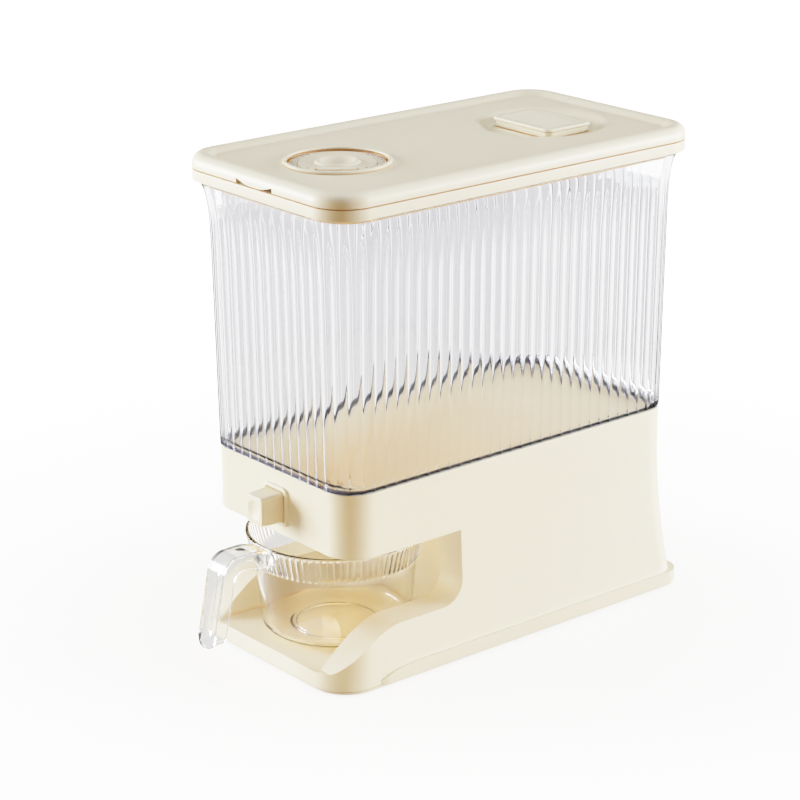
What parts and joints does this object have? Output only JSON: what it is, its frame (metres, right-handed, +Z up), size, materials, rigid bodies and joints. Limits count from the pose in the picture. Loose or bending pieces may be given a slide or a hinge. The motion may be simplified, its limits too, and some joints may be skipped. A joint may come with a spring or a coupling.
{
  "type": "cereal dispenser",
  "caption": "Push-button cereal dispenser: cream base with a cup bay, clear container, flip lid with a date dial and desiccant box, and a measuring cup with a handle.",
  "frame": {"origin": "on the surface the feet stand on, at the centre of the whole object's footprint box, the cup's handle included", "axes": "+X to the right seen from the front, +Y from the button and cup side to the rear, +Z up"},
  "size_m": [0.19, 0.4046, 0.375],
  "materials": {
    "cream_plastic": "satin moulded",
    "clear_container": "clear polished",
    "clear_cup": "clear polished",
    "silicone": "soft translucent",
    "rubber": "matte",
    "white_plastic": "matte",
    "sachet": "non-woven",
    "steel": "plain"
  },
  "bodies": {
    "base": {"base_housing": "cream_plastic", "bottom_plate": "cream_plastic", "foot_front_left": "rubber", "foot_front_right": "rubber", "foot_rear_left": "rubber", "foot_rear_right": "rubber", "base_screw_1": "steel", "base_screw_2": "steel", "base_screw_3": "steel", "base_screw_4": "steel", "base_screw_5": "steel", "base_screw_6": "steel", "hopper_floor": "cream_plastic", "gate_guide": "cream_plastic", "guide_screw_1": "steel", "guide_screw_2": "steel", "guide_screw_3": "steel", "guide_screw_4": "steel", "gate_spring_left": "steel", "gate_spring_right": "steel"},
    "button": {"push_button": "cream_plastic", "gate_slide": "cream_plastic", "button_screw": "steel"},
    "cup": {"measuring_cup": "clear_cup"},
    "container": {"container": "clear_container", "container_seal": "silicone"},
    "lid": {"lid_frame": "cream_plastic", "lid_seal": "silicone", "hinge_pin_left": "steel", "hinge_pin_right": "steel"},
    "cover": {"lid_cover": "cream_plastic", "cover_seal": "silicone", "dial_bezel": "cream_plastic"},
    "date_ring": {"date_ring": "cream_plastic"},
    "knob": {"dial_knob": "cream_plastic", "dial_clip": "white_plastic"},
    "desiccant": {"desiccant_box": "cream_plastic", "desiccant_lid": "cream_plastic", "desiccant_pack": "sachet"}
  },
  "joints": [
    {"name": "button_press", "type": "slide", "parent": "base", "child": "button", "axis": [0, 1, 0], "range_m": [0, 0.014], "stiffness_N_per_m": 300, "springref_m": -0.01, "deforming": ["gate_spring_left", "gate_spring_right"]},
    {"name": "cup_slide", "type": "slide", "parent": "base", "child": "cup", "axis": [0, -1, 0], "range_m": [0, 0.2]},
    {"name": "container_lift", "type": "slide", "parent": "base", "child": "container", "axis": [0, 0, 1], "range_m": [0, 0.05]},
    {"name": "lid_lift", "type": "slide", "parent": "container", "child": "lid", "axis": [0, 0, 1], "range_m": [0, 0.05]},
    {"name": "lid_hinge", "type": "hinge", "parent": "lid", "child": "cover", "pos_m": [0, 0.19875, 0.368], "axis": [-1, 0, 0], "range_deg": [0, 95]},
    {"name": "date_ring_turn", "type": "hinge", "parent": "cover", "child": "date_ring", "pos_m": [0, -0.07275, 0.3672], "axis": [0, 0, 1], "continuous": true},
    {"name": "dial_knob_turn", "type": "hinge", "parent": "cover", "child": "knob", "pos_m": [0, -0.07275, 0.3672], "axis": [0, 0, 1], "continuous": true},
    {"name": "desiccant_lift", "type": "slide", "parent": "cover", "child": "desiccant", "axis": [0, 0, 1], "range_m": [0, 0.06]}
  ]
}
